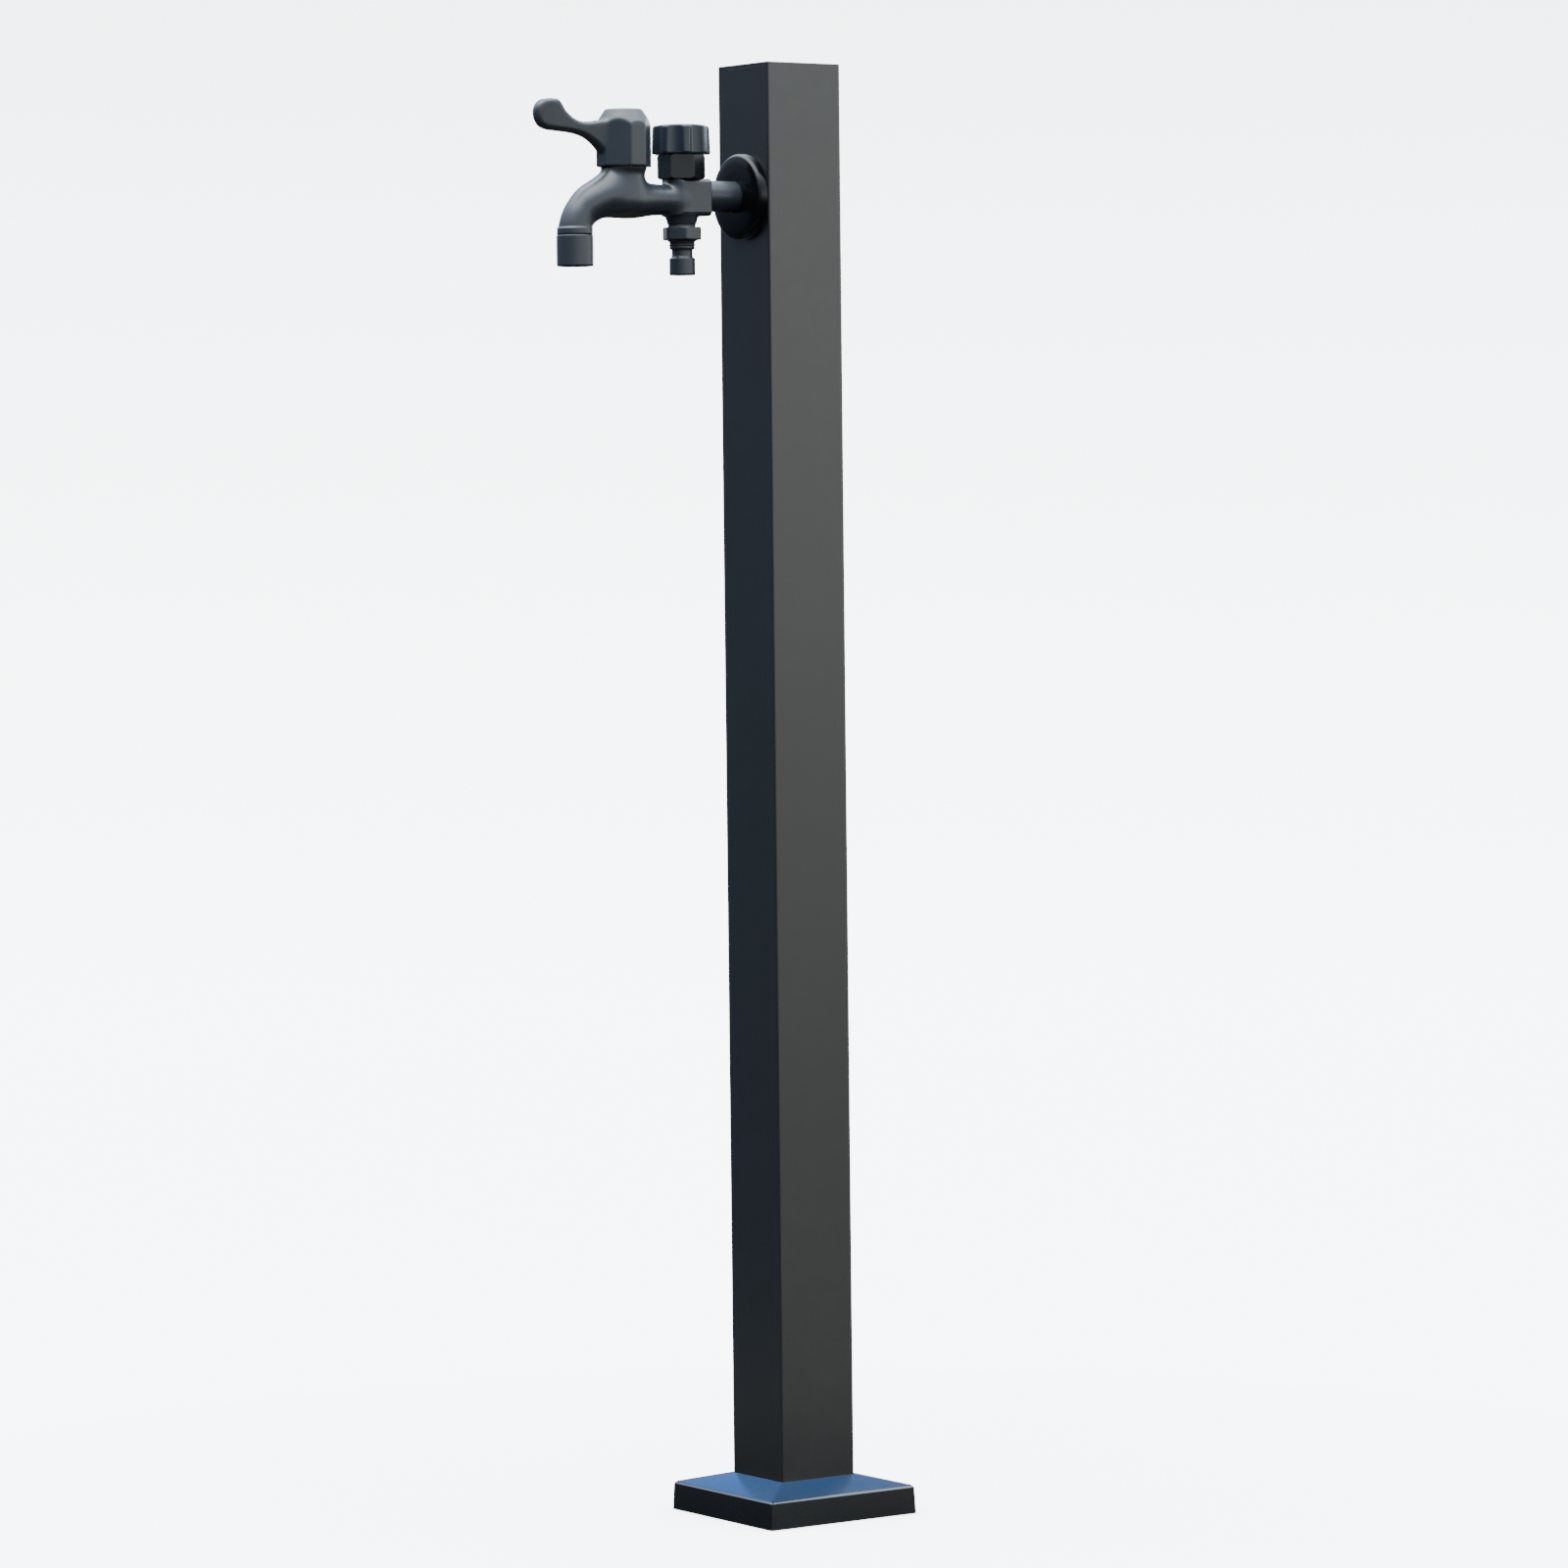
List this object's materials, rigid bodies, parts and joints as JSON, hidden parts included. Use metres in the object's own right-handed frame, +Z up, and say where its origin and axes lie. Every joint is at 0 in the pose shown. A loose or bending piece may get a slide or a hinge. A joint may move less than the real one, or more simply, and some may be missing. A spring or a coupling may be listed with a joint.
{
  "type": "garden standpipe",
  "caption": "Black square garden standpipe on a floor plate, with a lever tap on its spout and a second valve with a knob over a hose nipple.",
  "frame": {"origin": "on the ground at the post's axis, at the centre of the anchor holes in the floor plate's underside", "axes": "+Z up along the post, -Y forward along the tap, +X to the left of someone who faces the tap"},
  "size_m": [0.1214, 0.259, 0.992],
  "materials": {
    "post_paint": "matt",
    "tap_paint": "satin",
    "black_paint": "satin",
    "black_plastic": "matt",
    "knob_plastic": "satin",
    "brass": "machined",
    "stainless": "brushed",
    "rubber": "matt",
    "ceramic": "lapped",
    "clear_plastic": "natural"
  },
  "bodies": {
    "root": {"post_tube": "post_paint", "top_cap": "post_paint", "base_plate": "post_paint", "wall_flange": "black_paint", "elbow_washer": "rubber", "wall_elbow": "brass", "compression_nuts": "brass", "compression_olives": "brass", "riser_pipe": "stainless", "inlet_connector": "brass", "tap_body": "tap_paint", "seat_seal": "rubber", "cartridge_body": "brass", "fixed_disc": "ceramic", "side_bonnet": "black_paint", "hose_nipple": "tap_paint", "nipple_gasket": "rubber", "nipple_oring": "rubber", "spout_nozzle": "tap_paint", "nozzle_gasket": "rubber", "flow_straightener": "clear_plastic"},
    "lever": {"lever_handle": "tap_paint", "handle_screw": "stainless", "handle_cap": "black_plastic", "cartridge_spindle": "brass", "moving_disc": "ceramic", "cartridge_oring": "rubber", "spindle_circlip": "stainless"},
    "knob": {"side_knob": "knob_plastic", "knob_screw": "stainless", "knob_cap": "black_plastic", "side_spindle": "brass", "side_spindle_oring": "rubber"},
    "jumper": {"side_jumper": "brass", "side_washer": "rubber"},
    "cover": {"base_cover": "black_paint"}
  },
  "joints": [
    {"name": "lever_turn", "type": "hinge", "parent": "root", "child": "lever", "pos_m": [0, -0.1273, 0.94], "axis": [0, 0, 1], "range_deg": [0, 90]},
    {"name": "knob_turn", "type": "hinge", "parent": "root", "child": "knob", "pos_m": [0, -0.081, 0.93], "axis": [0, 0, 1], "range_deg": [0, 720]},
    {"name": "jumper_lift", "type": "slide", "parent": "root", "child": "jumper", "axis": [0, 0, 1], "range_m": [0, 0.003]},
    {"name": "cover_slide", "type": "slide", "parent": "root", "child": "cover", "axis": [0, 0, 1], "range_m": [0, 0.15]}
  ],
  "couplings": [
    {"joint": "jumper_lift", "follows": "knob_turn", "m_per_rad": 0.0002387}
  ]
}
